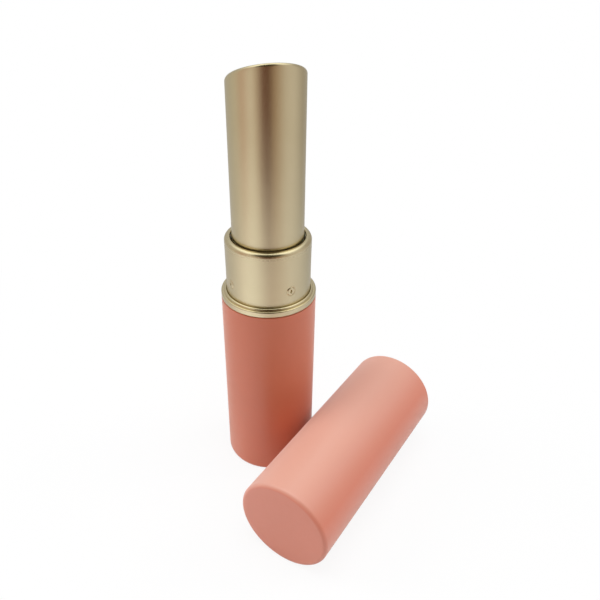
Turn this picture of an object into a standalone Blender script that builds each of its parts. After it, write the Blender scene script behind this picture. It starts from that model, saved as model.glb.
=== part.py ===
# Twist-up lipstick with a tall slant-mouthed tube, and its cap lying beside it.
# The base foot's centre is the origin, +Z runs up the base, and the cap lies along Y.

import math
import bmesh
import bpy
from mathutils import Matrix, Vector

# Outside sizes read from the photograph, in metres

OUTER_DIAMETER = 0.0190
BASE_HEIGHT = 0.0407
EDGE_RADIUS = 0.0008
RING_BAND_HEIGHT = 0.0012
RING_STEP_RISE = 0.00038
RING_FLAT_WIDTH = 0.000615
RING_STEP_ROUND = 0.00034
RING_ROUND = 0.00013
BAND_ROUND = 0.00025
COLLAR_HEIGHT = 0.01144
LIP_THICKNESS = 0.0005
LIP_WIDTH = 0.001085
RIM_FLARE = 0.000065
RIM_OUTER_ROUND = 0.00087
RIM_INNER_ROUND = 0.0002
TUBE_HEIGHT = 0.0297
MOUTH_ROUND = 0.0008
MOUTH_LIP_WIDTH = 0.001
MOUTH_LIP_THICKNESS = 0.0007
BUMP_DIAMETER = 0.0018
BUMP_RISE = 0.00025
BUMP_LEVEL = 0.0029

# Where the cap lies

CAP_BESIDE = 0.0013
CAP_FORWARD = 0.02536

# Walls and inner pieces

SHELL_WALL = 0.0004
SHELL_FLOOR = 0.0008
WEIGHT_HEIGHT = 0.0050
LINER_WALL = 0.0010
RING_SPIGOT_DEPTH = 0.0012
COLLAR_WALL = 0.0004
COLLAR_DEPTH = 0.0042
TUBE_WALL = 0.0005
HUB_HEIGHT = 0.0074
CAM_WALL = 0.00075
GROOVE_DEPTH = 0.0005
GUIDE_WALL = 0.0006
GUIDE_BELOW_MOUTH = 0.0015
FLANGE_THICKNESS = 0.0008
FOOT_FLANGE_WIDTH = 0.0006
DRAG_RING_THICKNESS = 0.0007
CUP_WALL = 0.00045
CUP_HEIGHT = 0.0105
PIN_COVER = 0.0002
PIN_DIAMETER = 0.0016
TRAVEL = 0.0220
BULLET_GAP = 0.00025
BULLET_BELOW_MOUTH = 0.0015
BULLET_ROUND = 0.0004
CAP_HEADROOM = 0.00071
SMALL_ROUND = 0.0001

# Clearances

PRESS_GAP = 0.00005
RUN_GAP = 0.00015
LIP_GAP = 0.00035
PILOT_GAP = 0.0001
CAP_GAP = 0.0001
SEAT_GAP = 0.0002
SEAM_GAP = 0.00015
OVERRUN = 0.0004

# Longest chord along a rounded edge

ARC_CHORD = 0.0002

# Angles and counts

MOUTH_SLOPE_SHARE = 0.481
MOUTH_HIGH_ANGLE = math.radians(-43.3)
BUMP_ANGLE = math.radians(-24.4)
BUMP_COUNT = 4
TURNS = 1.0
GROOVE_COUNT = 2
STOP_ANGLE = math.radians(11)
OUTER_SEGMENTS = 64
INNER_SEGMENTS = 40
ARC_STEPS_MOST = 6
ARC_STEPS_LEAST = 1
GROOVE_STEPS = 48
BUMP_SEGMENTS = 14
BUMP_RINGS = 8
PIN_SEGMENTS = 20
SHARP_ANGLE = math.radians(30)

# Radii, from the outside in

outer_radius = OUTER_DIAMETER / 2
shell_bore = outer_radius - SHELL_WALL
ring_step_radius = shell_bore - PILOT_GAP
collar_radius = ring_step_radius - RING_FLAT_WIDTH
collar_bore = collar_radius - COLLAR_WALL
rim_radius = collar_radius + RIM_FLARE
lip_radius = collar_radius - LIP_WIDTH
tube_radius = lip_radius - LIP_GAP
tube_bore = tube_radius - TUBE_WALL
mouth_lip_radius = tube_radius - MOUTH_LIP_WIDTH
mouth_inner_round = (MOUTH_LIP_WIDTH - MOUTH_ROUND) / 2
neck_bore = tube_radius + RUN_GAP + RUN_GAP
neck_radius = collar_bore - PRESS_GAP
hub_radius = neck_bore - PRESS_GAP
cam_radius = tube_bore - RUN_GAP
cam_bore = cam_radius - CAM_WALL
groove_radius = cam_bore + GROOVE_DEPTH
guide_radius = cam_bore - RUN_GAP
guide_bore = guide_radius - GUIDE_WALL
foot_flange_radius = guide_radius + FOOT_FLANGE_WIDTH
cup_radius = guide_bore - RUN_GAP
cup_bore = cup_radius - CUP_WALL
stem_radius = cup_bore - PRESS_GAP
bullet_radius = guide_bore - BULLET_GAP
pin_radius = PIN_DIAMETER / 2
pin_reach = groove_radius - RUN_GAP
liner_radius = shell_bore - PRESS_GAP
cap_liner_bore = rim_radius + CAP_GAP
snap_radius = collar_radius + BUMP_RISE + CAP_GAP

# Heights, from the foot up

weight_foot = SHELL_FLOOR + SEAT_GAP
weight_top = weight_foot + WEIGHT_HEIGHT
liner_foot = weight_top + SEAT_GAP
band_foot = BASE_HEIGHT + SEAM_GAP
band_top = band_foot + RING_BAND_HEIGHT
ring_top = band_top + RING_STEP_RISE
ring_foot = BASE_HEIGHT - RING_SPIGOT_DEPTH
collar_foot = BASE_HEIGHT - COLLAR_DEPTH
collar_top = ring_top + COLLAR_HEIGHT
lip_foot = collar_top - LIP_THICKNESS
bump_height = ring_top + BUMP_LEVEL
flare_foot = bump_height + BUMP_DIAMETER
shoulder = collar_foot - SEAT_GAP
neck_top = lip_foot - SEAT_GAP
ledge_foot = shoulder - LINER_WALL
cam_foot = shoulder + SEAT_GAP
hub_top = cam_foot + HUB_HEIGHT
tube_foot = hub_top + SEAT_GAP
mouth_centre = collar_top + TUBE_HEIGHT
mouth_drop = tube_radius * MOUTH_SLOPE_SHARE
mouth_low = mouth_centre - mouth_drop
mouth_high = mouth_centre + mouth_drop
guide_top = mouth_low - GUIDE_BELOW_MOUTH
guide_flange_foot = guide_top - FLANGE_THICKNESS
drag_ring_top = guide_flange_foot - SEAT_GAP
drag_ring_foot = drag_ring_top - DRAG_RING_THICKNESS
cam_top = drag_ring_foot - SEAT_GAP
guide_foot = cam_foot + SEAT_GAP
foot_flange_top = guide_foot + FLANGE_THICKNESS
counterbore_top = foot_flange_top + SEAT_GAP
cup_top = mouth_low - SEAT_GAP - TRAVEL
cup_foot = cup_top - CUP_HEIGHT
pin_height = cup_foot + PIN_COVER + pin_radius
cup_floor_top = pin_height + pin_radius + PIN_COVER
bullet_foot = cup_floor_top + SEAT_GAP
bullet_shoulder = cup_top + SEAT_GAP
bullet_centre = mouth_centre - BULLET_BELOW_MOUTH

# The cap fits over the tube and seats on the ring's band

cap_length = mouth_high + CAP_HEADROOM + SHELL_FLOOR - band_top
cap_liner_mouth = cap_length - RING_STEP_RISE - SEAT_GAP
cap_snap_centre = cap_length - (bump_height - band_top)
snap_half = BUMP_DIAMETER / 2 + SEAT_GAP
cap_axis_x = OUTER_DIAMETER + CAP_BESIDE

# The slots and pins stand square to the mouth's slant

pin_angle = MOUTH_HIGH_ANGLE + math.pi / 2


def clear_scene():
    for item in list(bpy.data.objects):
        bpy.data.objects.remove(item, do_unlink=True)
    for mesh in list(bpy.data.meshes):
        bpy.data.meshes.remove(mesh)


def make_material(name, colour, roughness, metallic):
    material = bpy.data.materials.new(name)
    material.use_nodes = True
    shader = material.node_tree.nodes["Principled BSDF"]
    shader.inputs["Base Color"].default_value = (*colour, 1.0)
    shader.inputs["Roughness"].default_value = roughness
    shader.inputs["Metallic"].default_value = metallic
    material.diffuse_color = (*colour, 1.0)
    return material


def rounded(corners):
    """Outline points (radius, height, slant) from corners (radius, height, round, slant)."""
    points = []
    count = len(corners)
    for index, (radius, height, round_radius, slant) in enumerate(corners):
        corner = Vector((radius, height))
        if round_radius == 0:
            points.append((radius, height, slant))
            continue
        before = Vector(corners[index - 1][:2]) - corner
        after = Vector(corners[(index + 1) % count][:2]) - corner
        before.normalize()
        after.normalize()
        half = before.angle(after) / 2
        centre = corner + (before + after).normalized() * (round_radius / math.sin(half))
        start = corner + before * (round_radius / math.tan(half)) - centre
        end = corner + after * (round_radius / math.tan(half)) - centre
        sweep = start.angle_signed(end)
        steps = math.ceil(abs(sweep) * round_radius / ARC_CHORD)
        steps = min(max(steps, ARC_STEPS_LEAST), ARC_STEPS_MOST)
        for step in range(steps + 1):
            turn = Matrix.Rotation(-sweep * step / steps, 2)
            place = centre + turn @ start
            points.append((place.x, place.y, slant))
    return points


def sharp(radius, height, slant=0):
    return (radius, height, 0, slant)


def lathe_mesh(name, corners, segments):
    """Closed turned solid; points with slant 1 ride the mouth's sloping plane."""
    shape = bmesh.new()
    rings = []
    for radius, height, slant in rounded(corners):
        if radius == 0:
            rings.append([shape.verts.new((0, 0, height))])
            continue
        ring = []
        for index in range(segments):
            angle = 2 * math.pi * index / segments
            lift = slant * MOUTH_SLOPE_SHARE * radius * math.cos(angle - MOUTH_HIGH_ANGLE)
            place = (radius * math.cos(angle), radius * math.sin(angle), height + lift)
            ring.append(shape.verts.new(place))
        rings.append(ring)
    for lower, upper in zip(rings, rings[1:] + rings[:1]):
        for index in range(segments):
            following = (index + 1) % segments
            if len(lower) == 1 and len(upper) == 1:
                break
            if len(lower) == 1:
                shape.faces.new((lower[0], upper[following], upper[index]))
            elif len(upper) == 1:
                shape.faces.new((lower[index], lower[following], upper[0]))
            else:
                shape.faces.new((lower[index], lower[following], upper[following], upper[index]))
    bmesh.ops.recalc_face_normals(shape, faces=shape.faces)
    mesh = bpy.data.meshes.new(name)
    shape.to_mesh(mesh)
    shape.free()
    return mesh


def place_piece(name, mesh, material):
    mesh.materials.append(material)
    mesh.shade_smooth()
    mesh.set_sharp_from_angle(angle=SHARP_ANGLE)
    piece = bpy.data.objects.new(name, mesh)
    bpy.context.scene.collection.objects.link(piece)
    return piece


def lathe(name, corners, segments, material):
    return place_piece(name, lathe_mesh(name, corners, segments), material)


def box_mesh(name, low, high):
    shape = bmesh.new()
    size = Vector(high) - Vector(low)
    middle = (Vector(high) + Vector(low)) / 2
    bmesh.ops.create_cube(shape, size=1, matrix=Matrix.Translation(middle) @ Matrix.Diagonal((*size, 1)))
    mesh = bpy.data.meshes.new(name)
    shape.to_mesh(mesh)
    shape.free()
    return mesh


def add_tool(name, mesh):
    tool = bpy.data.objects.new(name, mesh)
    bpy.context.scene.collection.objects.link(tool)
    tool.hide_render = True
    tool.display_type = "WIRE"
    return tool


def combine(piece, tool, operation):
    modifier = piece.modifiers.new(tool.name, "BOOLEAN")
    modifier.operation = operation
    modifier.solver = "EXACT"
    modifier.object = tool


def shell_corners(length):
    """A drawn cup standing on its closed end."""
    return [
        sharp(0, 0),
        (outer_radius, 0, EDGE_RADIUS, 0),
        (outer_radius, length, SMALL_ROUND, 0),
        (shell_bore, length, SMALL_ROUND, 0),
        sharp(shell_bore, SHELL_FLOOR),
        sharp(0, SHELL_FLOOR),
    ]


def base_shell(material):
    corners = shell_corners(BASE_HEIGHT)
    lathe("base_shell", corners, OUTER_SEGMENTS, material)


def base_weight(material):
    radius = shell_bore - RUN_GAP
    corners = [
        sharp(0, weight_foot),
        (radius, weight_foot, SMALL_ROUND, 0),
        (radius, weight_top, SMALL_ROUND, 0),
        sharp(0, weight_top),
    ]
    lathe("base_weight", corners, INNER_SEGMENTS, material)


def base_liner(material):
    """Stepped tube that fills the shell, carries the collar and holds the mechanism."""
    wide_bore = liner_radius - LINER_WALL
    corners = [
        sharp(liner_radius, liner_foot),
        sharp(liner_radius, shoulder),
        sharp(neck_radius, shoulder),
        sharp(neck_radius, neck_top),
        sharp(neck_bore, neck_top),
        sharp(neck_bore, shoulder),
        sharp(cup_radius, shoulder),
        sharp(cup_radius, ledge_foot),
        sharp(wide_bore, ledge_foot),
        sharp(wide_bore, liner_foot),
    ]
    lathe("base_liner", corners, INNER_SEGMENTS, material)


def trim_ring(material):
    hole = collar_radius + PRESS_GAP
    corners = [
        sharp(liner_radius, ring_foot),
        sharp(liner_radius, band_foot),
        sharp(outer_radius, band_foot),
        (outer_radius, band_top, BAND_ROUND, 0),
        sharp(ring_step_radius, band_top),
        (ring_step_radius, ring_top, RING_STEP_ROUND, 0),
        (hole, ring_top, RING_ROUND, 0),
        sharp(hole, ring_foot),
    ]
    lathe("trim_ring", corners, OUTER_SEGMENTS, material)


def bump_mesh():
    """Flat-domed bumps round the collar, sunk part way into its wall."""
    shape = bmesh.new()
    sink = (COLLAR_WALL - BUMP_RISE) / 4
    for index in range(BUMP_COUNT):
        angle = BUMP_ANGLE + 2 * math.pi * index / BUMP_COUNT
        turn = Matrix.Rotation(angle, 4, "Z")
        move = Matrix.Translation((collar_radius - sink, 0, bump_height))
        scale = Matrix.Diagonal((BUMP_RISE + sink, BUMP_DIAMETER / 2, BUMP_DIAMETER / 2, 1))
        tip_out = Matrix.Rotation(math.pi / 2, 4, "Y")
        place = turn @ move @ scale @ tip_out
        bmesh.ops.create_uvsphere(shape, u_segments=BUMP_SEGMENTS, v_segments=BUMP_RINGS,
                                  radius=1, matrix=place)
    mesh = bpy.data.meshes.new("collar_bump_tool")
    shape.to_mesh(mesh)
    shape.free()
    return mesh


def collar(material):
    """Sleeve with pressed bumps, slightly flared above them and rolled over to a lip at its top."""
    corners = [
        sharp(collar_radius, collar_foot),
        sharp(collar_radius, flare_foot),
        (rim_radius, collar_top, RIM_OUTER_ROUND, 0),
        (lip_radius, collar_top, RIM_INNER_ROUND, 0),
        sharp(lip_radius, lip_foot),
        sharp(collar_bore, lip_foot),
        sharp(collar_bore, collar_foot),
    ]
    piece = lathe("collar", corners, OUTER_SEGMENTS, material)
    combine(piece, add_tool("collar_bump_tool", bump_mesh()), "UNION")


def groove_mesh(name, start_angle):
    """A one-start helical bar that cuts the groove a carrier pin runs in."""
    lead = TRAVEL / (2 * math.pi * TURNS)
    inner = cam_bore - OVERRUN
    mean = (cam_bore + groove_radius) / 2
    helix_angle = math.atan(lead / mean)
    half = (pin_radius + RUN_GAP) / math.cos(helix_angle)
    sweep = 2 * math.pi * TURNS + 2 * STOP_ANGLE
    steps = round(GROOVE_STEPS * TURNS)
    shape = bmesh.new()
    rings = []
    for step in range(steps + 1):
        turned = -STOP_ANGLE + sweep * step / steps
        angle = start_angle + turned
        height = pin_height + lead * turned
        ring = []
        bar = ((inner, -half), (groove_radius, -half), (groove_radius, half), (inner, half))
        for radius, rise in bar:
            place = (radius * math.cos(angle), radius * math.sin(angle), height + rise)
            ring.append(shape.verts.new(place))
        rings.append(ring)
    for lower, upper in zip(rings, rings[1:]):
        for index in range(4):
            following = (index + 1) % 4
            shape.faces.new((lower[index], lower[following], upper[following], upper[index]))
    shape.faces.new(rings[0])
    shape.faces.new(rings[-1])
    bmesh.ops.triangulate(shape, faces=shape.faces)
    bmesh.ops.recalc_face_normals(shape, faces=shape.faces)
    mesh = bpy.data.meshes.new(name)
    shape.to_mesh(mesh)
    shape.free()
    return mesh


def cam_sleeve(material):
    """Grooved sleeve pressed into the liner's neck, so that it turns with the base."""
    counterbore = foot_flange_radius + RUN_GAP
    corners = [
        sharp(hub_radius, cam_foot),
        sharp(hub_radius, hub_top),
        sharp(cam_radius, hub_top),
        sharp(cam_radius, cam_top),
        sharp(cam_bore, cam_top),
        sharp(cam_bore, counterbore_top),
        sharp(counterbore, counterbore_top),
        sharp(counterbore, cam_foot),
    ]
    piece = lathe("cam_sleeve", corners, INNER_SEGMENTS, material)
    for index in range(GROOVE_COUNT):
        name = f"cam_groove_tool_{index + 1}"
        start = pin_angle + 2 * math.pi * index / GROOVE_COUNT
        combine(piece, add_tool(name, groove_mesh(name, start)), "DIFFERENCE")


def slant_tube(material):
    """The tall bright tube, cut off on a slope and rolled inward round its mouth."""
    corners = [
        sharp(tube_bore, tube_foot),
        sharp(tube_radius, tube_foot),
        (tube_radius, mouth_centre, MOUTH_ROUND, 1),
        (mouth_lip_radius, mouth_centre, mouth_inner_round, 1),
        sharp(mouth_lip_radius, mouth_centre - MOUTH_LIP_THICKNESS, 1),
        sharp(tube_bore, mouth_centre - MOUTH_LIP_THICKNESS, 1),
    ]
    lathe("slant_tube", corners, OUTER_SEGMENTS, material)


def guide_tube(material):
    """Slotted tube held in the slant tube by its top flange and under the cam by its foot."""
    flange_radius = tube_bore - PRESS_GAP
    corners = [
        sharp(guide_bore, guide_foot),
        sharp(foot_flange_radius, guide_foot),
        sharp(foot_flange_radius, foot_flange_top),
        sharp(guide_radius, foot_flange_top),
        sharp(guide_radius, guide_flange_foot),
        sharp(flange_radius, guide_flange_foot),
        sharp(flange_radius, guide_top),
        (guide_bore, guide_top, SMALL_ROUND, 0),
    ]
    piece = lathe("guide_tube", corners, INNER_SEGMENTS, material)
    reach = guide_radius + OVERRUN
    half = pin_radius + RUN_GAP
    end = pin_radius + SEAT_GAP
    low = (-reach, -half, pin_height - end)
    high = (reach, half, pin_height + TRAVEL + end)
    mesh = box_mesh("guide_slot_tool", low, high)
    mesh.transform(Matrix.Rotation(pin_angle, 4, "Z"))
    combine(piece, add_tool("guide_slot_tool", mesh), "DIFFERENCE")


def drag_ring(material):
    """Soft ring between the cam's end and the guide's flange, which makes the twist smooth."""
    inner = guide_radius + PRESS_GAP
    outer = cam_radius - RUN_GAP
    round_radius = (outer - inner) / 3
    corners = [
        (inner, drag_ring_foot, round_radius, 0),
        (outer, drag_ring_foot, round_radius, 0),
        (outer, drag_ring_top, round_radius, 0),
        (inner, drag_ring_top, round_radius, 0),
    ]
    lathe("drag_ring", corners, INNER_SEGMENTS, material)


def carrier(material):
    """Cup under the bullet, with a pin each side that reaches through the guide into the cam."""
    corners = [
        sharp(0, cup_foot),
        sharp(cup_radius, cup_foot),
        sharp(cup_radius, cup_top),
        sharp(cup_bore, cup_top),
        sharp(cup_bore, cup_floor_top),
        sharp(0, cup_floor_top),
    ]
    piece = lathe("carrier", corners, INNER_SEGMENTS, material)
    shape = bmesh.new()
    lay = Matrix.Rotation(pin_angle, 4, "Z") @ Matrix.Rotation(math.pi / 2, 4, "Y")
    place = Matrix.Translation((0, 0, pin_height)) @ lay
    bmesh.ops.create_cone(shape, cap_ends=True, segments=PIN_SEGMENTS, radius1=pin_radius,
                          radius2=pin_radius, depth=2 * pin_reach, matrix=place)
    mesh = bpy.data.meshes.new("carrier_pin_tool")
    shape.to_mesh(mesh)
    shape.free()
    combine(piece, add_tool("carrier_pin_tool", mesh), "UNION")


def bullet(material):
    """The colour stick, with a stem in the cup and a slanted face under the mouth."""
    corners = [
        sharp(0, bullet_foot),
        sharp(stem_radius, bullet_foot),
        sharp(stem_radius, bullet_shoulder),
        sharp(bullet_radius, bullet_shoulder),
        (bullet_radius, bullet_centre, BULLET_ROUND, 1),
        sharp(0, bullet_centre),
    ]
    lathe("bullet", corners, INNER_SEGMENTS, material)


def lay_cap(piece):
    """Turn a cap piece from standing on its closed end to lying along Y on the table."""
    piece.data.transform(Matrix.Rotation(-math.pi / 2, 4, "X"))
    piece.location = (cap_axis_x, -CAP_FORWARD, outer_radius)


def cap_shell(material):
    corners = shell_corners(cap_length)
    piece = lathe("cap_shell", corners, OUTER_SEGMENTS, material)
    lay_cap(piece)


def cap_liner(material):
    """Inner tube of the cap, with a groove that snaps over the collar's bumps."""
    foot = SHELL_FLOOR + SEAT_GAP
    corners = [
        sharp(liner_radius, foot),
        sharp(liner_radius, cap_liner_mouth),
        sharp(cap_liner_bore, cap_liner_mouth),
        sharp(cap_liner_bore, cap_snap_centre + snap_half),
        sharp(snap_radius, cap_snap_centre + snap_half / 2),
        sharp(snap_radius, cap_snap_centre - snap_half / 2),
        sharp(cap_liner_bore, cap_snap_centre - snap_half),
        sharp(cap_liner_bore, foot),
    ]
    piece = lathe("cap_liner", corners, OUTER_SEGMENTS, material)
    lay_cap(piece)


def build():
    clear_scene()
    pink = make_material("pink_paint", (0.62, 0.25, 0.19), 0.6, 0.0)
    cap_pink = make_material("cap_pink_paint", (0.62, 0.25, 0.19), 0.6, 0.0)
    ring_gold = make_material("ring_gold", (0.72, 0.60, 0.40), 0.3, 1.0)
    collar_gold = make_material("collar_gold", (0.72, 0.60, 0.40), 0.35, 1.0)
    tube_gold = make_material("tube_gold", (0.68, 0.55, 0.36), 0.25, 1.0)
    steel = make_material("weight_steel", (0.45, 0.45, 0.46), 0.5, 1.0)
    liner_plastic = make_material("liner_plastic", (0.75, 0.73, 0.70), 0.5, 0.0)
    cam_plastic = make_material("cam_plastic", (0.85, 0.84, 0.80), 0.45, 0.0)
    guide_plastic = make_material("guide_plastic", (0.80, 0.78, 0.72), 0.45, 0.0)
    drag_silicone = make_material("drag_silicone", (0.70, 0.70, 0.68), 0.6, 0.0)
    carrier_plastic = make_material("carrier_plastic", (0.82, 0.80, 0.76), 0.45, 0.0)
    bullet_wax = make_material("bullet_wax", (0.60, 0.13, 0.12), 0.4, 0.0)
    cap_plastic = make_material("cap_liner_plastic", (0.80, 0.78, 0.72), 0.45, 0.0)
    base_shell(pink)
    base_weight(steel)
    base_liner(liner_plastic)
    trim_ring(ring_gold)
    collar(collar_gold)
    cam_sleeve(cam_plastic)
    slant_tube(tube_gold)
    guide_tube(guide_plastic)
    drag_ring(drag_silicone)
    carrier(carrier_plastic)
    bullet(bullet_wax)
    cap_shell(cap_pink)
    cap_liner(cap_plastic)


build()
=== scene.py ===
# Looks of the slant-mouthed lipstick and its cap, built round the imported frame.

import math
import bmesh
import bpy
from mathutils import Matrix, Vector


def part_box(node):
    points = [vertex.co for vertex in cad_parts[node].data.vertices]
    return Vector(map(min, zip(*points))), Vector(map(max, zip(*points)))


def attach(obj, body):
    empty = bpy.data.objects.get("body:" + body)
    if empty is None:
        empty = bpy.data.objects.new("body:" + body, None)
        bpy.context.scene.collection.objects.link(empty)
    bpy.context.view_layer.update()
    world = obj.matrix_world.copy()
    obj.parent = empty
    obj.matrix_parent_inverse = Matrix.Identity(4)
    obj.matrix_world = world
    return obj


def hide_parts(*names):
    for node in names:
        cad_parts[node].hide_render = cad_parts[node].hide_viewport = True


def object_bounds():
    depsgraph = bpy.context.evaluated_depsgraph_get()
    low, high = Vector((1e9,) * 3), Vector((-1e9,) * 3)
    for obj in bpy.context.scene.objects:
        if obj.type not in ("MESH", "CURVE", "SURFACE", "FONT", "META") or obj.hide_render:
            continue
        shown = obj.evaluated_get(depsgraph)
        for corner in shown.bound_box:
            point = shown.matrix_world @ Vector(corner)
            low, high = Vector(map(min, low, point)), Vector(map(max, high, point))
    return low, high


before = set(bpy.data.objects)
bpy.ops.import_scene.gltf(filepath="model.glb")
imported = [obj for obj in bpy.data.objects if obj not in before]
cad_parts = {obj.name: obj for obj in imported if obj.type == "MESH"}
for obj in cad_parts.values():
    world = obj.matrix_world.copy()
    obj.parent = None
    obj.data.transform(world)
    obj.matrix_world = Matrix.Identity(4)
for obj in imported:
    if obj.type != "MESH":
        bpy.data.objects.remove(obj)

cad_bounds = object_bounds()

# Camera, as the photograph's outlines give it

IMAGE_WIDTH = 600
FOCAL_PIXELS = 635.127
SENSOR_WIDTH = 36
CAMERA_PLACE = Vector((0.06335, -0.08921, 0.10861))
CAMERA_HEADING = math.radians(122.057)
CAMERA_PITCH = math.radians(-32.500)
CAMERA_ROLL = math.radians(1.006)
CLIP_START = 0.005
CLIP_END = 10

# Sizes that the frame's boxes don't give, in metres

EDGE_RADIUS = 0.0008
SHELL_WALL = 0.0004
SHELL_FLOOR = 0.0008
SMALL_ROUND = 0.0001
RING_ROUND = 0.00013
RING_STEP_ROUND = 0.00034
RING_STEP_RISE = 0.00038
RING_FLAT_WIDTH = 0.000615
BAND_ROUND = 0.00025
SEAM_ROUND = 0.00015
SEAM_GAP = 0.00015
PILOT_GAP = 0.0001
PRESS_GAP = 0.00005
SEAT_GAP = 0.0002
COLLAR_WALL = 0.0004
LIP_THICKNESS = 0.0005
LIP_WIDTH = 0.001085
RIM_OUTER_ROUND = 0.00087
RIM_INNER_ROUND = 0.0002
BUMP_DIAMETER = 0.0018
BUMP_RISE = 0.00025
BUMP_PLATEAU = 0.00007
BUMP_RIM = 0.00006
BUMP_LEVEL = 0.0029
PIT_DEPTH = 0.0003
PIT_HALF_WIDTH = 0.00021
PIT_HALF_HEIGHT = 0.00046
TUBE_WALL = 0.0005
MOUTH_ROUND = 0.0008
MOUTH_LIP_WIDTH = 0.001
MOUTH_LIP_THICKNESS = 0.0007
BULLET_ROUND = 0.0004
CAP_GAP = 0.0001

# Angles, shares and counts of the shapes

MOUTH_SLOPE_SHARE = 0.481
MOUTH_HIGH_ANGLE = math.radians(-43.3)
BUMP_ANGLE = math.radians(-24.4)
BUMP_COUNT = 4
BUMP_FLANK_SHARE = 0.2
BUMP_RIM_SHARE = 0.13
PIT_FLANK_SHARE = 0.45

# How finely the shapes are meshed; round each bump the mesh is finer, as far as its field reaches

ROUND_SEGMENTS = 192
ARC_STEP = math.radians(9)
ARC_STEPS_LEAST = 2
SHARP_ANGLE = math.radians(30)
SUPPORT_SHARE = 0.35
FINE_STEP = 0.00004
BUMP_FIELD_SHARE = 0.6

# Colours of the finishes

# One pink paint in two copies: the base's is deeper, painted shade, and the cap's is paler, painted light
SHADED_BASE_PINK = (0.66, 0.145, 0.055)
SHADED_BASE_PINK_DEEP = (0.64, 0.14, 0.05)
LIT_CAP_PINK = (0.72, 0.205, 0.12)
LIT_CAP_PINK_DEEP = (0.70, 0.20, 0.115)
# A painted highlight: the paler pink that the cap's upper faces take, standing in for the overhead light's
# gloss
CAP_PAINTED_HIGHLIGHT = (0.74, 0.38, 0.29)
PAINT_SHEEN_TINT = (1.0, 0.86, 0.80)
GOLD = (0.72, 0.64, 0.43)
GOLD_DEEP = (0.70, 0.62, 0.41)
WAX_RED = (0.56, 0.10, 0.085)
WAX_RED_DEEP = (0.47, 0.07, 0.065)
WAX_SCATTER_TINT = (1.0, 0.25, 0.2)
STEEL_GREY = (0.42, 0.42, 0.43)
STEEL_GREY_DEEP = (0.30, 0.30, 0.31)

# Grain sizes, relief depths and scatter depths of the finishes, in metres

PAINT_CLOUDS = 0.009
PAINT_MOTTLE = 0.0012
PAINT_RUBS = 0.0008
PAINT_PEEL = 0.00016
PAINT_PEEL_DEPTH = 0.000004
GOLD_CLOUDS = 0.006
GOLD_MOTTLE = 0.004
GOLD_RUBS = 0.0005
GOLD_SATIN = 0.00009
GOLD_SATIN_DEPTH = 0.000001
PLASTIC_FLOW = 0.004
PLASTIC_MOTTLE = 0.0009
PLASTIC_TEXTURE = 0.0002
PLASTIC_TEXTURE_DEPTH = 0.000005
PLASTIC_SCATTER_DEPTH = 0.0006
WAX_STREAKS = 0.0015
WAX_MOTTLE = 0.0007
WAX_MARKS = 0.0006
WAX_MARKS_DEPTH = 0.000012
WAX_SCATTER_DEPTH = 0.0005
STEEL_FILM = 0.002
STEEL_TURNING = 0.0004
STEEL_PITS = 0.0003
STEEL_PITS_DEPTH = 0.000008

# Roughness of the finishes, how far it strays, and how much it changes on rounded edges

PAINT_ROUGHNESS = (0.44, 0.50)
PAINT_EDGE_CHANGE = -0.08
RING_ROUGHNESS = 0.25
COLLAR_ROUGHNESS = 0.30
TUBE_ROUGHNESS = 0.28
GOLD_ROUGHNESS_STRAY = 0.006
GOLD_EDGE_CHANGE = -0.06
PLASTIC_ROUGHNESS_STRAY = 0.05
WAX_ROUGHNESS = (0.30, 0.42)
STEEL_ROUGHNESS = (0.38, 0.55)

# Shares, details and directions of the finishes; a stretch under 1 draws the grain out along Z

NOISE_LOW_SHARE = 0.3
NOISE_HIGH_SHARE = 0.7
SOFT_DETAIL = 2.0
PLAIN_DETAIL = 3.0
FINE_DETAIL = 4.0
EVEN_STRETCH = (1, 1, 1)
FLOW_STRETCH = (1, 1, 0.3)
STREAK_STRETCH = (1, 1, 0.15)
MARKS_STRETCH = (1, 1, 0.2)
TURNING_STRETCH = (1, 1, 0.1)
RELIEF_SHARE = 0.5
GOLD_RELIEF_SHARE = 0.3
WORN_SHARES = (0.4, 1.0)
# Where the cap's painted highlight lies: the facing shares it fades in over, and the direction it faces
PAINTED_HIGHLIGHT_SHARES = (0.25, 0.95)
PAINTED_HIGHLIGHT_DIRECTION = (-0.26, 0, 0.966)

# Moulded looks: name, colour, deeper colour, roughness, share of light that scatters inside

CAP_LINER_LOOK = ("cap_liner_look", (0.80, 0.78, 0.72), (0.74, 0.72, 0.66), 0.42, 0.15)
INNER_LOOKS = {
    "base_liner": ("liner_plastic_look", (0.74, 0.72, 0.68), (0.66, 0.64, 0.60), 0.5, 0.1),
    "cam_sleeve": ("cam_plastic_look", (0.84, 0.83, 0.79), (0.77, 0.76, 0.72), 0.42, 0.15),
    "guide_tube": ("guide_plastic_look", (0.80, 0.78, 0.72), (0.73, 0.71, 0.65), 0.42, 0.15),
    "carrier": ("carrier_plastic_look", (0.82, 0.80, 0.76), (0.75, 0.73, 0.69), 0.42, 0.15),
    "drag_ring": ("drag_silicone_look", (0.70, 0.70, 0.68), (0.64, 0.64, 0.62), 0.6, 0.3),
}

# Floor and room; lengths in metres

FLOOR_SIZE = 4.0
NEAR_FLOOR = 0.05
FAR_FLOOR = 0.22
SHADOW_REACH = 0.12
SHADOW_SHARE = 0.14
PAPER = (0.88, 0.88, 0.88)
WHITE = (1, 1, 1)
ROOM_LIGHT = 0.35
OVERHEAD_TINT = (1.45, 1.45, 1.35)
OVERHEAD_SHARES = (0.54, 0.84)
DARK_SIDE_TINT = (0.055, 0.042, 0.022)
DARK_SIDE_UP = math.radians(43)
DARK_SIDE_INNER = math.radians(28)
DARK_SIDE_OUTER = math.radians(40)

# What the metal mirrors level around, by degrees to the right of the camera

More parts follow.
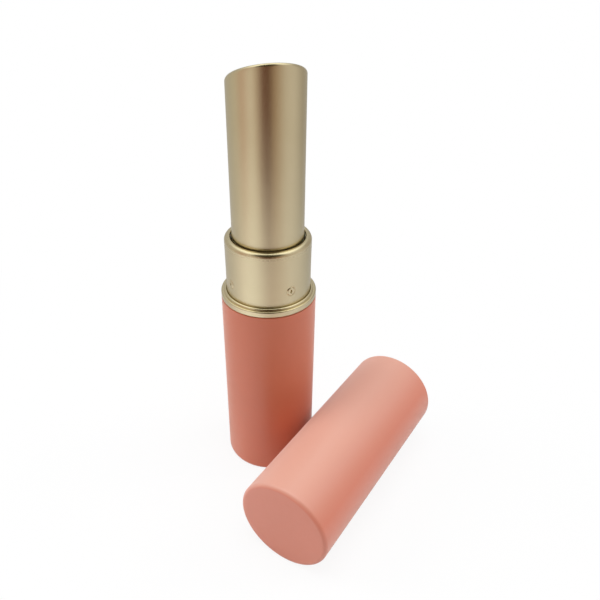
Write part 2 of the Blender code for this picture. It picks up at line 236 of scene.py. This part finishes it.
ROOM_TINTS = (
    (-180, (0.52, 0.51, 0.49)),
    (-120, (0.55, 0.52, 0.48)),
    (-94, (0.62, 0.57, 0.50)),
    (-70, (0.60, 0.43, 0.36)),
    (-42, (0.76, 0.69, 0.63)),
    (-28, (0.60, 0.48, 0.40)),
    (-9, (0.15, 0.05, 0.025)),
    (6, (0.11, 0.035, 0.015)),
    (26, (0.42, 0.29, 0.20)),
    (57, (0.66, 0.60, 0.55)),
    (84, (0.68, 0.63, 0.59)),
    (120, (0.43, 0.39, 0.35)),
    (180, (0.52, 0.51, 0.49)),
)

# Painted light and shade on the floor near the object, seen only in the metal: lightest at the front left
# and darker behind, by the same degrees

PAINTED_FLOOR_LIGHT_TINTS = (
    (-180, (0.50, 0.50, 0.50)),
    (-105, (0.57, 0.55, 0.55)),
    (-62, (1.0, 1.0, 1.0)),
    (-27, (0.94, 0.94, 0.94)),
    (5, (0.72, 0.66, 0.64)),
    (60, (0.76, 0.74, 0.74)),
    (120, (0.50, 0.50, 0.50)),
    (180, (0.50, 0.50, 0.50)),
)

# Lamps: name, degrees right of the camera, degrees up, distance, width, watts

LAMPS = (
    ("overhead_box", 0, 88, 0.60, 0.50, 2.35),
    ("left_box", -100, 32, 0.60, 0.34, 1.25),
    ("right_box", 100, 34, 0.60, 0.34, 0.85),
)

# Numbers of the Mix node's sockets for colours

MIX_SHARE = 0
MIX_FIRST = 6
MIX_SECOND = 7
MIX_RESULT = 2

# Places from the frame

outer_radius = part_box("base_shell")[1].x
base_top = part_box("base_shell")[1].z
ring_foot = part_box("trim_ring")[0].z
ring_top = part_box("trim_ring")[1].z
rim_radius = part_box("collar")[1].x
collar_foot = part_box("collar")[0].z
collar_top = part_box("collar")[1].z
tube_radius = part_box("slant_tube")[1].x
tube_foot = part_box("slant_tube")[0].z
tube_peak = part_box("slant_tube")[1].z
bullet_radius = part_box("bullet")[1].x
bullet_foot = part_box("bullet")[0].z
bullet_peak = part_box("bullet")[1].z
cup_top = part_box("carrier")[1].z
cap_low, cap_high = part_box("cap_shell")
liner_low, liner_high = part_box("cap_liner")

# Places worked out from them

shell_bore = outer_radius - SHELL_WALL
ring_spigot = shell_bore - PRESS_GAP
ring_step_radius = shell_bore - PILOT_GAP
collar_radius = ring_step_radius - RING_FLAT_WIDTH
ring_hole = collar_radius + PRESS_GAP
band_foot = base_top + SEAM_GAP
band_top = ring_top - RING_STEP_RISE
collar_bore = collar_radius - COLLAR_WALL
lip_radius = collar_radius - LIP_WIDTH
lip_foot = collar_top - LIP_THICKNESS
bump_height = ring_top + BUMP_LEVEL
flare_foot = bump_height + BUMP_DIAMETER
tube_bore = tube_radius - TUBE_WALL
mouth_lip_radius = tube_radius - MOUTH_LIP_WIDTH
mouth_inner_round = (MOUTH_LIP_WIDTH - MOUTH_ROUND) / 2
stem_radius = bullet_radius - 2 * SEAT_GAP
bullet_shoulder = cup_top + SEAT_GAP
cap_length = cap_high.y - cap_low.y
cap_axis = Vector(((cap_low.x + cap_high.x) / 2, cap_low.y, (cap_low.z + cap_high.z) / 2))
liner_radius = (liner_high.x - liner_low.x) / 2
liner_foot = liner_low.y - cap_low.y
liner_mouth = liner_high.y - cap_low.y
liner_bore = rim_radius + CAP_GAP
snap_bore = collar_radius + BUMP_RISE + CAP_GAP
snap_centre = cap_length - (bump_height - band_top)
snap_half = BUMP_DIAMETER / 2 + SEAT_GAP
to_camera_angle = math.atan2(CAMERA_PLACE.y, CAMERA_PLACE.x)


def slant_centre(peak, radius, round_radius):
    """Height where a slanted face meets the axis, from its rounded rim's highest point."""
    rim = MOUTH_SLOPE_SHARE * (radius - round_radius)
    return peak - rim - round_radius * (math.hypot(1, MOUTH_SLOPE_SHARE) - 1)


mouth_centre = slant_centre(tube_peak, tube_radius, MOUTH_ROUND)
bullet_centre = slant_centre(bullet_peak, bullet_radius, BULLET_ROUND)


# Turned shapes

def sharp(radius, height, slant=0):
    return (radius, height, 0, slant)


def rounded(corners):
    """Outline points (radius, height, slant, edge) from corners (radius, height, round, slant).

    Edge is 1 on a rounded edge. A support point each side of it keeps the flat faces' shading flat.
    """
    points = []
    count = len(corners)
    places = [Vector(corner[:2]) for corner in corners]
    following = places[1:] + places[:1]
    sides = [(places[index - 1] - place, following[index] - place) for index, place in enumerate(places)]
    halves = [before.angle(after) / 2 for before, after in sides]
    reaches = [corner[2] / math.tan(half) for corner, half in zip(corners, halves)]
    for index, (radius, height, round_radius, slant) in enumerate(corners):
        if round_radius == 0:
            points.append((radius, height, slant, 0))
            continue
        before, after = sides[index]
        reach = reaches[index]
        start = before.normalized() * reach
        end = after.normalized() * reach
        centre = (start + end).normalized() * (round_radius / math.sin(halves[index]))
        sweep = (start - centre).angle_signed(end - centre)
        steps = max(ARC_STEPS_LEAST, math.ceil(abs(sweep) / ARC_STEP))
        straight = before.length - reach - reaches[index - 1]
        support = places[index] + before.normalized() * (reach + min(reach, SUPPORT_SHARE * straight))
        points.append((support.x, support.y, slant, 0))
        for step in range(steps + 1):
            turn = Matrix.Rotation(-sweep * step / steps, 2)
            place = places[index] + centre + turn @ (start - centre)
            points.append((place.x, place.y, slant, 1))
        straight = after.length - reach - reaches[(index + 1) % count]
        support = places[index] + after.normalized() * (reach + min(reach, SUPPORT_SHARE * straight))
        points.append((support.x, support.y, slant, 0))
    return points


def even_angles():
    return [2 * math.pi * index / ROUND_SEGMENTS for index in range(ROUND_SEGMENTS)]


def turned(name, corners, angles=None, push=None):
    """Closed turned piece; slant 1 rides the mouth's slope and push moves points outward."""
    angles = angles or even_angles()
    count = len(angles)
    shape = bmesh.new()
    edge_layer = shape.verts.layers.float.new("edge")
    rings = []
    for radius, height, slant, edge in rounded(corners):
        ring = []
        for angle in angles[:1] if radius == 0 else angles:
            lift = slant * MOUTH_SLOPE_SHARE * radius * math.cos(angle - MOUTH_HIGH_ANGLE)
            out = radius + (push(radius, height, angle) if push else 0)
            vertex = shape.verts.new((out * math.cos(angle), out * math.sin(angle), height + lift))
            vertex[edge_layer] = edge
            ring.append(vertex)
        rings.append(ring)
    for lower, upper in zip(rings, rings[1:] + rings[:1]):
        if len(lower) == 1 and len(upper) == 1:
            continue
        for index in range(count):
            following = (index + 1) % count
            corner_verts = [lower[index % len(lower)], lower[following % len(lower)]]
            corner_verts += [upper[following % len(upper)], upper[index % len(upper)]]
            shape.faces.new(list(dict.fromkeys(corner_verts)))
    bmesh.ops.recalc_face_normals(shape, faces=shape.faces)
    mesh = bpy.data.meshes.new(name)
    shape.to_mesh(mesh)
    shape.free()
    mesh.shade_smooth()
    mesh.set_sharp_from_angle(angle=SHARP_ANGLE)
    piece = bpy.data.objects.new(name, mesh)
    bpy.context.scene.collection.objects.link(piece)
    return piece


def install(piece, material, body, node):
    """Give a piece its material, and let it ride its body in place of its node."""
    piece.data.materials.append(material)
    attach(piece, body)
    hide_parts(node)


def shell_corners(length, mouth_round):
    """A drawn cup standing on its closed end."""
    return [
        sharp(0, 0),
        (outer_radius, 0, EDGE_RADIUS, 0),
        (outer_radius, length, mouth_round, 0),
        (shell_bore, length, SMALL_ROUND, 0),
        sharp(shell_bore, SHELL_FLOOR),
        sharp(0, SHELL_FLOOR),
    ]


def base_skin(material):
    piece = turned("base_skin", shell_corners(base_top, SEAM_ROUND))
    install(piece, material, "base", "base_shell")


def ring_skin(material):
    corners = [
        sharp(ring_spigot, ring_foot),
        sharp(ring_spigot, band_foot),
        (outer_radius, band_foot, SEAM_ROUND, 0),
        (outer_radius, band_top, BAND_ROUND, 0),
        sharp(ring_step_radius, band_top),
        (ring_step_radius, ring_top, RING_STEP_ROUND, 0),
        (ring_hole, ring_top, RING_ROUND, 0),
        sharp(ring_hole, ring_foot),
    ]
    piece = turned("ring_skin", corners)
    install(piece, material, "base", "trim_ring")


def bump_angles():
    return [BUMP_ANGLE + 2 * math.pi * index / BUMP_COUNT for index in range(BUMP_COUNT)]


def collar_angles():
    """Even angles, with closer ones across each bump."""
    half = BUMP_FIELD_SHARE * BUMP_DIAMETER / collar_radius
    steps = math.ceil(2 * half * collar_radius / FINE_STEP)
    angles = []
    for angle in even_angles():
        gaps = [abs(math.remainder(angle - bump, 2 * math.pi)) for bump in bump_angles()]
        if min(gaps) > half + math.pi / ROUND_SEGMENTS:
            angles.append(angle)
    for bump in bump_angles():
        for step in range(steps + 1):
            angles.append((bump - half + 2 * half * step / steps) % (2 * math.pi))
    return sorted(angles)


def ease(share):
    """A share kept between 0 and 1, with a soft start and end."""
    share = min(max(share, 0), 1)
    return share * share * (3 - 2 * share)


def bump_push(radius, height, angle):
    """Pressed bumps: a plateau with a steep flank, a fine line round it and the punch's upright pit."""
    if radius != collar_radius:
        return 0
    for bump in bump_angles():
        along = math.remainder(angle - bump, 2 * math.pi) * collar_radius
        away = math.hypot(along, height - bump_height) / (BUMP_DIAMETER / 2)
        if away < 1 + BUMP_RIM_SHARE:
            rim = ease(1 - abs(away - 1) / BUMP_RIM_SHARE)
            rise = BUMP_PLATEAU * ease((1 - away) / BUMP_FLANK_SHARE)
            inside = math.hypot(along / PIT_HALF_WIDTH, (height - bump_height) / PIT_HALF_HEIGHT)
            return rise - PIT_DEPTH * ease((1 - inside) / PIT_FLANK_SHARE) - BUMP_RIM * rim
    return 0


def collar_skin(material):
    """Sleeve with close rows across its bumps, flared above them and rolled over to a lip."""
    half = BUMP_FIELD_SHARE * BUMP_DIAMETER
    rows = math.ceil(2 * half / FINE_STEP)
    corners = [sharp(collar_radius, collar_foot)]
    for row in range(rows + 1):
        corners.append(sharp(collar_radius, bump_height - half + 2 * half * row / rows))
    corners += [
        sharp(collar_radius, flare_foot),
        (rim_radius, collar_top, RIM_OUTER_ROUND, 0),
        (lip_radius, collar_top, RIM_INNER_ROUND, 0),
        sharp(lip_radius, lip_foot),
        sharp(collar_bore, lip_foot),
        sharp(collar_bore, collar_foot),
    ]
    piece = turned("collar_skin", corners, collar_angles(), bump_push)
    install(piece, material, "base", "collar")


def tube_skin(material):
    """The tall tube, cut off on a slope and rolled inward round its mouth."""
    corners = [
        sharp(tube_bore, tube_foot),
        sharp(tube_radius, tube_foot),
        (tube_radius, mouth_centre, MOUTH_ROUND, 1),
        (mouth_lip_radius, mouth_centre, mouth_inner_round, 1),
        sharp(mouth_lip_radius, mouth_centre - MOUTH_LIP_THICKNESS, 1),
        sharp(tube_bore, mouth_centre - MOUTH_LIP_THICKNESS, 1),
    ]
    piece = turned("tube_skin", corners)
    install(piece, material, "upper", "slant_tube")


def bullet_skin(material):
    corners = [
        sharp(0, bullet_foot),
        sharp(stem_radius, bullet_foot),
        sharp(stem_radius, bullet_shoulder),
        sharp(bullet_radius, bullet_shoulder),
        (bullet_radius, bullet_centre, BULLET_ROUND, 1),
        sharp(0, bullet_centre, 1),
    ]
    piece = turned("bullet_skin", corners)
    install(piece, material, "bullet_carrier", "bullet")


def lay_down(piece):
    """Turn a piece that stands on the cap's closed end to lie along Y, on the cap's axis."""
    piece.data.transform(Matrix.Rotation(-math.pi / 2, 4, "X"))
    piece.data.transform(Matrix.Translation(cap_axis))


def cap_skin(material):
    piece = turned("cap_skin", shell_corners(cap_length, SMALL_ROUND))
    lay_down(piece)
    install(piece, material, "cap", "cap_shell")


def cap_liner_skin(material):
    """Inner tube of the cap, with a groove that snaps over the collar's bumps."""
    corners = [
        sharp(liner_radius, liner_foot),
        (liner_radius, liner_mouth, SMALL_ROUND, 0),
        (liner_bore, liner_mouth, SMALL_ROUND, 0),
        sharp(liner_bore, snap_centre + snap_half),
        sharp(snap_bore, snap_centre + snap_half / 2),
        sharp(snap_bore, snap_centre - snap_half / 2),
        sharp(liner_bore, snap_centre - snap_half),
        sharp(liner_bore, liner_foot),
    ]
    piece = turned("cap_liner_skin", corners)
    lay_down(piece)
    install(piece, material, "cap", "cap_liner")


# Nodes

def add_node(tree, kind, settings=(), values=()):
    """A node with its settings and inputs; an input is a plain value or another node's output."""
    node = tree.nodes.new(kind)
    for key, value in dict(settings).items():
        setattr(node, key, value)
    for key, value in dict(values).items():
        if isinstance(value, bpy.types.NodeSocket):
            tree.links.new(value, node.inputs[key])
        else:
            node.inputs[key].default_value = value
    return node


def maths(tree, operation, *values):
    return add_node(tree, "ShaderNodeMath", {"operation": operation}, dict(enumerate(values))).outputs[0]


def vector_maths(tree, operation, *values):
    return add_node(tree, "ShaderNodeVectorMath", {"operation": operation}, dict(enumerate(values))).outputs


def colour_input(colour):
    """A node's colour output as it is, or a plain colour made opaque."""
    return colour if isinstance(colour, bpy.types.NodeSocket) else (*colour, 1)


def mix_colours(tree, share, first, second):
    values = {MIX_SHARE: share, MIX_FIRST: colour_input(first), MIX_SECOND: colour_input(second)}
    return add_node(tree, "ShaderNodeMix", {"data_type": "RGBA"}, values).outputs[MIX_RESULT]


def mix_shaders(tree, share, first, second):
    return add_node(tree, "ShaderNodeMixShader", {}, {0: share, 1: first, 2: second}).outputs[0]


def spread(tree, source, low, high, start=NOISE_LOW_SHARE, end=NOISE_HIGH_SHARE):
    """A value from start to end spread over low to high."""
    values = {"Value": source, "From Min": start, "From Max": end, "To Min": low, "To Max": high}
    return add_node(tree, "ShaderNodeMapRange", {}, values).outputs["Result"]


def grain(tree, size, detail=PLAIN_DETAIL, stretch=EVEN_STRETCH):
    """Noise with features of about this size, stretched along the object's axes."""
    place = add_node(tree, "ShaderNodeTexCoord").outputs["Object"]
    scaled = vector_maths(tree, "MULTIPLY", place, stretch)["Vector"]
    values = {"Vector": scaled, "Scale": 1 / size, "Detail": detail}
    return add_node(tree, "ShaderNodeTexNoise", {}, values).outputs["Fac"]


# Materials

def surface(name, values):
    material = bpy.data.materials.new(name)
    material.use_nodes = True
    shader = material.node_tree.nodes["Principled BSDF"]
    for key, value in values.items():
        shader.inputs[key].default_value = value
    return material, material.node_tree, shader


def clouded(tree, colour, deep, clouds):
    """A colour that turns deeper where this grain rises."""
    return mix_colours(tree, spread(tree, clouds, 0, 1), colour, deep)


def relief(tree, shader, height, depth, share=RELIEF_SHARE):
    values = {"Height": height, "Distance": depth, "Strength": share}
    bump = add_node(tree, "ShaderNodeBump", {}, values)
    tree.links.new(bump.outputs["Normal"], shader.inputs["Normal"])


def worn_edge(tree, size):
    """A share that rises on rounded edges and breaks up with fine noise."""
    edge = add_node(tree, "ShaderNodeAttribute", {"attribute_name": "edge"}).outputs["Fac"]
    broken = spread(tree, grain(tree, size, FINE_DETAIL), *WORN_SHARES)
    return maths(tree, "MULTIPLY", edge, broken)


def soft_paint(name, colour, deep, painted_highlight=None):
    """Matt soft-touch lacquer: a faint clouding, a fine orange peel and slightly rubbed edges.

    The painted highlight is a paler colour mixed in on the faces turned up, standing in for the overhead
    light's gloss.
    """
    material, tree, shader = surface(name, {
        "Specular IOR Level": 0.9,
        "Sheen Weight": 0.5,
        "Sheen Roughness": 0.45,
        "Sheen Tint": colour_input(PAINT_SHEEN_TINT),
        "Diffuse Roughness": 0.3,
    })
    tint = clouded(tree, colour, deep, grain(tree, PAINT_CLOUDS))
    # Painted highlight: a paler colour mixed in on the faces turned up
    if painted_highlight:
        facing = add_node(tree, "ShaderNodeTexCoord").outputs["Normal"]
        painted_highlight_facing = vector_maths(tree, "DOT_PRODUCT", facing, PAINTED_HIGHLIGHT_DIRECTION)["Value"]
        tint = mix_colours(tree, spread(tree, painted_highlight_facing, 0, 1, *PAINTED_HIGHLIGHT_SHARES), tint, painted_highlight)
    tree.links.new(tint, shader.inputs["Base Color"])
    rough = spread(tree, grain(tree, PAINT_MOTTLE, FINE_DETAIL), *PAINT_ROUGHNESS)
    rubbed = maths(tree, "MULTIPLY_ADD", worn_edge(tree, PAINT_RUBS), PAINT_EDGE_CHANGE, rough)
    tree.links.new(rubbed, shader.inputs["Roughness"])
    relief(tree, shader, grain(tree, PAINT_PEEL), PAINT_PEEL_DEPTH)
    return material


def satin_gold(name, roughness, edge_change):
    """Anodised aluminium with a fine satin skin, whose rounded edges may be smoother than the rest."""
    material, tree, shader = surface(name, {"Metallic": 1.0})
    tint = clouded(tree, GOLD, GOLD_DEEP, grain(tree, GOLD_CLOUDS))
    tree.links.new(tint, shader.inputs["Base Color"])
    least = roughness - GOLD_ROUGHNESS_STRAY
    most = roughness + GOLD_ROUGHNESS_STRAY
    rough = spread(tree, grain(tree, GOLD_MOTTLE), least, most)
    rubbed = maths(tree, "MULTIPLY_ADD", worn_edge(tree, GOLD_RUBS), edge_change, rough)
    tree.links.new(rubbed, shader.inputs["Roughness"])
    relief(tree, shader, grain(tree, GOLD_SATIN, SOFT_DETAIL), GOLD_SATIN_DEPTH, GOLD_RELIEF_SHARE)
    return material


def moulded(name, colour, deep, roughness, milky):
    """Moulded plastic with faint flow marks and a fine matt texture."""
    material, tree, shader = surface(name, {
        "Subsurface Weight": milky,
        "Subsurface Scale": PLASTIC_SCATTER_DEPTH,
    })
    tint = clouded(tree, colour, deep, grain(tree, PLASTIC_FLOW, stretch=FLOW_STRETCH))
    tree.links.new(tint, shader.inputs["Base Color"])
    least = roughness - PLASTIC_ROUGHNESS_STRAY
    most = roughness + PLASTIC_ROUGHNESS_STRAY
    tree.links.new(spread(tree, grain(tree, PLASTIC_MOTTLE), least, most), shader.inputs["Roughness"])
    relief(tree, shader, grain(tree, PLASTIC_TEXTURE, SOFT_DETAIL), PLASTIC_TEXTURE_DEPTH)
    return material


def wax(name):
    """Moulded lipstick: a soft sheen with faint streaks from the mould."""
    material, tree, shader = surface(name, {
        "Subsurface Weight": 0.12,
        "Subsurface Scale": WAX_SCATTER_DEPTH,
        "Subsurface Radius": WAX_SCATTER_TINT,
        "Specular IOR Level": 0.5,
    })
    tint = clouded(tree, WAX_RED, WAX_RED_DEEP, grain(tree, WAX_STREAKS, stretch=STREAK_STRETCH))
    tree.links.new(tint, shader.inputs["Base Color"])
    tree.links.new(spread(tree, grain(tree, WAX_MOTTLE), *WAX_ROUGHNESS), shader.inputs["Roughness"])
    relief(tree, shader, grain(tree, WAX_MARKS, stretch=MARKS_STRETCH), WAX_MARKS_DEPTH)
    return material


def steel(name):
    """Cut bar end: a turned grain under a dull film."""
    material, tree, shader = surface(name, {"Metallic": 1.0})
    tint = clouded(tree, STEEL_GREY, STEEL_GREY_DEEP, grain(tree, STEEL_FILM, FINE_DETAIL))
    tree.links.new(tint, shader.inputs["Base Color"])
    rough = spread(tree, grain(tree, STEEL_TURNING, stretch=TURNING_STRETCH), *STEEL_ROUGHNESS)
    tree.links.new(rough, shader.inputs["Roughness"])
    relief(tree, shader, grain(tree, STEEL_PITS), STEEL_PITS_DEPTH)
    return material


def finish_inner_nodes():
    """Give the hidden CAD nodes their materials."""
    looks = {node: moulded(*look) for node, look in INNER_LOOKS.items()}
    looks["base_weight"] = steel("weight_steel_look")
    for node, material in looks.items():
        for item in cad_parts[node].material_slots:
            item.material = material


def build_object():
    # The base takes the shaded copy of the pink paint and the cap the lit copy
    base_skin(soft_paint("base_paint_shaded_look", SHADED_BASE_PINK, SHADED_BASE_PINK_DEEP))
    ring_skin(satin_gold("ring_gold_look", RING_ROUGHNESS, GOLD_EDGE_CHANGE))
    collar_skin(satin_gold("collar_gold_look", COLLAR_ROUGHNESS, GOLD_EDGE_CHANGE))
    tube_skin(satin_gold("tube_gold_look", TUBE_ROUGHNESS, 0))
    bullet_skin(wax("bullet_wax_look"))
    cap_skin(soft_paint("cap_paint_lit_look", LIT_CAP_PINK, LIT_CAP_PINK_DEEP, CAP_PAINTED_HIGHLIGHT))
    cap_liner_skin(moulded(*CAP_LINER_LOOK))
    finish_inner_nodes()


# Room, floor, lamps and camera

def direction_to(angle, up):
    """A unit vector at an angle round Z and an angle up from level."""
    return Vector((math.cos(angle) * math.cos(up), math.sin(angle) * math.cos(up), math.sin(up)))


def tint_around(tree, place, tints):
    """A colour picked by the level direction of a point or ray."""
    turn = {"rotation_type": "Z_AXIS"}
    values = {"Vector": place, "Angle": -to_camera_angle}
    turned_place = add_node(tree, "ShaderNodeVectorRotate", turn, values).outputs["Vector"]
    parts = add_node(tree, "ShaderNodeSeparateXYZ", {}, {0: turned_place}).outputs
    angle = maths(tree, "ARCTAN2", parts["Y"], parts["X"])
    share = spread(tree, angle, 0, 1, -math.pi, math.pi)
    ramp = add_node(tree, "ShaderNodeValToRGB", {}, {0: share})
    stops = ramp.color_ramp.elements
    while len(stops) < len(tints):
        stops.new(1)
    for stop, (degrees, colour) in zip(stops, tints):
        stop.position = degrees / 360 + 0.5
        stop.color = (*colour, 1)
    return ramp.outputs["Color"]


def ray_is(tree, *kinds):
    """1 for a ray of one of these kinds, and else 0."""
    path = add_node(tree, "ShaderNodeLightPath").outputs
    total = path[kinds[0]]
    for kind in kinds[1:]:
        total = maths(tree, "MAXIMUM", total, path[kind])
    return total


def glowing(tree, kind, colour, strength=1.0):
    return add_node(tree, kind, {}, {"Color": colour_input(colour), "Strength": strength}).outputs[0]


def matt(tree, colour):
    return add_node(tree, "ShaderNodeBsdfDiffuse", {}, {"Color": colour_input(colour)}).outputs[0]


def room_colour(tree, direction):
    """The tinted room, bright overhead and dark on the camera's side."""
    height = add_node(tree, "ShaderNodeSeparateXYZ", {}, {0: direction}).outputs["Z"]
    overhead = spread(tree, height, 0, 1, *OVERHEAD_SHARES)
    tinted = mix_colours(tree, overhead, tint_around(tree, direction, ROOM_TINTS), OVERHEAD_TINT)
    dark_side = direction_to(to_camera_angle, DARK_SIDE_UP)
    nearness = vector_maths(tree, "DOT_PRODUCT", direction, dark_side)["Value"]
    shade = spread(tree, nearness, 0, 1, math.cos(DARK_SIDE_OUTER), math.cos(DARK_SIDE_INNER))
    return mix_colours(tree, shade, tinted, DARK_SIDE_TINT)


def make_world():
    """White to the camera, an even soft light on the object, and the tinted room in the metal."""
    world = bpy.data.worlds.new("studio")
    world.use_nodes = True
    tree = world.node_tree
    tree.nodes.clear()
    direction = add_node(tree, "ShaderNodeTexCoord").outputs["Generated"]
    soft = glowing(tree, "ShaderNodeBackground", WHITE, ROOM_LIGHT)
    room = glowing(tree, "ShaderNodeBackground", room_colour(tree, direction))
    white = glowing(tree, "ShaderNodeBackground", WHITE)
    lit = mix_shaders(tree, ray_is(tree, "Is Glossy Ray"), soft, room)
    mixed = mix_shaders(tree, ray_is(tree, "Is Camera Ray", "Is Transmission Ray"), lit, white)
    output = add_node(tree, "ShaderNodeOutputWorld")
    tree.links.new(mixed, output.inputs["Surface"])
    bpy.context.scene.world = world


def floor_material():
    """White paper: plain white to the camera, with a soft shadow kept near the object.

    The metal mirrors it as lit paper with painted light and shade near the object, and further out as a
    glow in the room's tints, a painted reflection of the room that is dark on the camera's side.
    """
    material = bpy.data.materials.new("floor_paper")
    material.use_nodes = True
    tree = material.node_tree
    tree.nodes.clear()
    place = add_node(tree, "ShaderNodeNewGeometry").outputs["Position"]
    distance = vector_maths(tree, "LENGTH", place)["Value"]
    paper = matt(tree, PAPER)
    white = glowing(tree, "ShaderNodeEmission", WHITE)
    glow = spread(tree, distance, 1 - SHADOW_SHARE, 1, 0, SHADOW_REACH)
    shown = mix_shaders(tree, glow, paper, white)
    # Painted light and shade: to glossy rays the paper's colour turns lighter and darker round the object
    painted_light_sheet = matt(tree, tint_around(tree, place, PAINTED_FLOOR_LIGHT_TINTS))
    # Further out the floor glows in the room's tints to glossy rays: a painted reflection of the room, dark
    # on the camera's side
    room = glowing(tree, "ShaderNodeEmission", tint_around(tree, place, ROOM_TINTS))
    far = spread(tree, distance, 0, 1, NEAR_FLOOR, FAR_FLOOR)
    painted_floor_reflection = mix_shaders(tree, far, painted_light_sheet, room)
    plain = mix_shaders(tree, ray_is(tree, "Is Glossy Ray"), paper, painted_floor_reflection)
    mixed = mix_shaders(tree, ray_is(tree, "Is Camera Ray", "Is Transmission Ray"), plain, shown)
    output = add_node(tree, "ShaderNodeOutputMaterial")
    tree.links.new(mixed, output.inputs["Surface"])
    return material


def make_floor():
    shape = bmesh.new()
    bmesh.ops.create_grid(shape, x_segments=1, y_segments=1, size=FLOOR_SIZE / 2)
    mesh = bpy.data.meshes.new("floor")
    shape.to_mesh(mesh)
    shape.free()
    mesh.materials.append(floor_material())
    floor = bpy.data.objects.new("floor", mesh)
    bpy.context.scene.collection.objects.link(floor)


def make_lamps():
    """Soft boxes turned to the object's middle, which the metal doesn't mirror."""
    target = (cad_bounds[0] + cad_bounds[1]) / 2
    for name, azimuth, elevation, distance, width, watts in LAMPS:
        data = bpy.data.lights.new(name, "AREA")
        data.shape = "DISK"
        data.size = width
        data.energy = watts
        lamp = bpy.data.objects.new(name, data)
        bpy.context.scene.collection.objects.link(lamp)
        away = direction_to(to_camera_angle + math.radians(azimuth), math.radians(elevation))
        lamp.location = target + away * distance
        lamp.rotation_euler = away.to_track_quat("Z", "Y").to_euler()
        lamp.visible_camera = False
        lamp.visible_glossy = False


def make_camera():
    data = bpy.data.cameras.new("photo_camera")
    data.sensor_width = SENSOR_WIDTH
    data.lens = FOCAL_PIXELS / IMAGE_WIDTH * SENSOR_WIDTH
    data.clip_start = CLIP_START
    data.clip_end = CLIP_END
    camera = bpy.data.objects.new("photo_camera", data)
    bpy.context.scene.collection.objects.link(camera)
    forward = direction_to(CAMERA_HEADING, CAMERA_PITCH)
    side = Vector((math.sin(CAMERA_HEADING), -math.cos(CAMERA_HEADING), 0))
    up = side.cross(forward)
    rolled_side = side * math.cos(CAMERA_ROLL) + up * math.sin(CAMERA_ROLL)
    rolled_up = up * math.cos(CAMERA_ROLL) - side * math.sin(CAMERA_ROLL)
    turn = Matrix((rolled_side, rolled_up, -forward)).transposed().to_4x4()
    camera.matrix_world = Matrix.Translation(CAMERA_PLACE) @ turn
    bpy.context.scene.camera = camera


build_object()
make_floor()
make_lamps()
make_world()
make_camera()
bpy.context.scene.view_settings.view_transform = "Standard"
